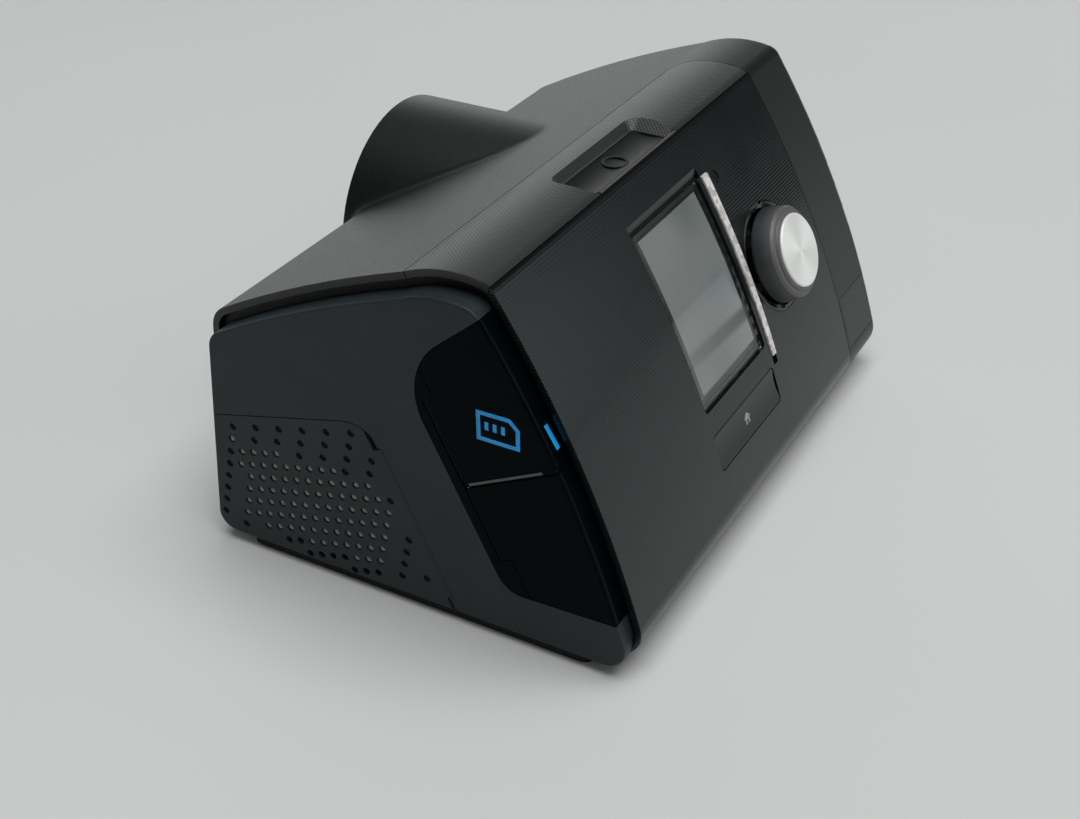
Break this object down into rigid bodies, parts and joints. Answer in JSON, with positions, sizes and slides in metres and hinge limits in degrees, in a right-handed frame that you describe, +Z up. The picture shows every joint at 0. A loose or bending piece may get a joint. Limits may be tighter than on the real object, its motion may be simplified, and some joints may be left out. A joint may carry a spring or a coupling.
{
  "type": "cpap machine",
  "caption": "Bedside positive-airway-pressure machine with a screen, turn-and-press dial, keys, hinged side covers, a blower and a slide-out heated water tub.",
  "frame": {"origin": "on the table, under the middle of the bounding box", "axes": "+Z up, -Y towards the front panel, +Y towards the air outlet, -X towards the side panel with the filter and card covers, +X towards the water tub"},
  "size_m": [0.205, 0.15, 0.116],
  "materials": {
    "fascia_gloss": "gloss with fine ribs",
    "band_satin": "fine dot texture",
    "cover_matt": "fine matt grain",
    "side_matt": "matt grain",
    "access_gloss": "high gloss",
    "base_matt": "matt",
    "foot_rubber": "matt rubber",
    "screen_glass": "gloss",
    "display_dark": "gloss",
    "trim_silver": "bright speckled",
    "dial_metal": "radially brushed",
    "grip_rubber": "soft satin",
    "key_gloss": "satin gloss",
    "light_guide": "translucent white",
    "filter_foam": "fibre mat",
    "inner_plastic": "moulded",
    "duct_grey": "moulded",
    "foam_dark": "open foam",
    "seal_silicone": "soft",
    "steel": "machined",
    "board_green": "solder mask",
    "part_black": "moulded",
    "impeller_white": "moulded",
    "stator_iron": "laminated",
    "tub_clear": "clear",
    "heater_metal": "satin",
    "card_blue": "moulded"
  },
  "bodies": {
    "housing": {"front_fascia": "fascia_gloss", "top_band": "band_satin", "rear_cover": "cover_matt", "base_pan": "base_matt", "foot_strips": "foot_rubber", "label_plate": "part_black", "side_panel": "side_matt", "side_frame": "base_matt", "air_filter": "filter_foam", "access_frame": "access_gloss", "hinge_rods": "steel", "card_board": "board_green", "screen_window": "screen_glass", "screen_frame": "part_black", "display_module": "display_dark", "display_board": "board_green", "trim_strip": "trim_silver", "light_sensor": "part_black", "dial_ring": "key_gloss", "encoder": "part_black", "status_light": "light_guide", "switch_board": "board_green", "key_switches": "part_black", "intake_box": "inner_plastic", "muffler_foam": "foam_dark", "inlet_duct": "duct_grey", "volute_lower": "inner_plastic", "volute_upper": "duct_grey", "rotor_bearings": "steel", "motor_stator": "stator_iron", "blower_mounts": "seal_silicone", "flow_sensor": "part_black", "outlet_elbow": "duct_grey", "outlet_tube": "cover_matt", "outlet_seal": "seal_silicone", "power_inlet": "part_black", "power_pin": "steel", "tub_bay": "inner_plastic", "heater_plate": "heater_metal", "main_board": "board_green", "board_parts": "part_black", "board_screws": "steel"},
    "dial_press": {"encoder_plunger": "steel"},
    "dial": {"dial_grip": "grip_rubber", "dial_face": "dial_metal", "dial_shaft": "steel"},
    "start_button": {"start_button": "key_gloss"},
    "home_button": {"home_button": "key_gloss"},
    "card_cover": {"card_cover": "access_gloss"},
    "adapter_cover": {"adapter_cover": "access_gloss"},
    "filter_cover": {"filter_cover": "side_matt"},
    "memory_card": {"memory_card": "card_blue"},
    "rotor": {"impeller": "impeller_white", "rotor_shaft": "steel"},
    "retention_clip": {"retention_clip": "base_matt"},
    "water_tub": {"tub_base": "tub_clear", "tub_lid": "tub_clear", "tub_seal": "seal_silicone", "tub_plate": "heater_metal", "tub_end_cover": "cover_matt"}
  },
  "joints": [
    {"name": "dial_push", "type": "slide", "parent": "housing", "child": "dial_press", "axis": [0, 0.9039, -0.4277], "range_m": [0, 0.0008], "stiffness_N_per_m": 2500, "springref_m": -0.0004},
    {"name": "dial_turn", "type": "hinge", "parent": "dial_press", "child": "dial", "pos_m": [0.0402, -0.05528, 0.0673], "axis": [0, -0.9039, 0.4277], "continuous": true},
    {"name": "start_press", "type": "slide", "parent": "housing", "child": "start_button", "axis": [0, 0, -1], "range_m": [0, 0.0008], "stiffness_N_per_m": 2000, "springref_m": -0.0005},
    {"name": "home_press", "type": "slide", "parent": "housing", "child": "home_button", "axis": [0, 0.9425, -0.3343], "range_m": [0, 0.0006], "stiffness_N_per_m": 2000, "springref_m": -0.0005},
    {"name": "card_cover_hinge", "type": "hinge", "parent": "housing", "child": "card_cover", "pos_m": [-0.1013, -0.022, 0.0522], "axis": [0, -0.4503, -0.8929], "range_deg": [0, 68]},
    {"name": "adapter_cover_hinge", "type": "hinge", "parent": "housing", "child": "adapter_cover", "pos_m": [-0.1013, -0.022, 0.0522], "axis": [0, -0.4503, -0.8929], "range_deg": [0, 68]},
    {"name": "filter_cover_hinge", "type": "hinge", "parent": "housing", "child": "filter_cover", "pos_m": [-0.1013, 0.007, 0.0553], "axis": [0, 0.4305, 0.9026], "range_deg": [0, 68]},
    {"name": "card_push", "type": "slide", "parent": "housing", "child": "memory_card", "axis": [1, 0, 0], "range_m": [0, 0.001], "stiffness_N_per_m": 800, "springref_m": -0.0005},
    {"name": "rotor_spin", "type": "hinge", "parent": "housing", "child": "rotor", "pos_m": [-0.03, 0.012, 0], "axis": [0, 0, 1], "continuous": true},
    {"name": "clip_hinge", "type": "hinge", "parent": "housing", "child": "retention_clip", "pos_m": [-0.05, 0.0693, 0.036], "axis": [1, 0, 0], "range_deg": [0, 90]},
    {"name": "tub_slide", "type": "slide", "parent": "housing", "child": "water_tub", "axis": [1, 0, 0], "range_m": [0, 0.08]}
  ]
}
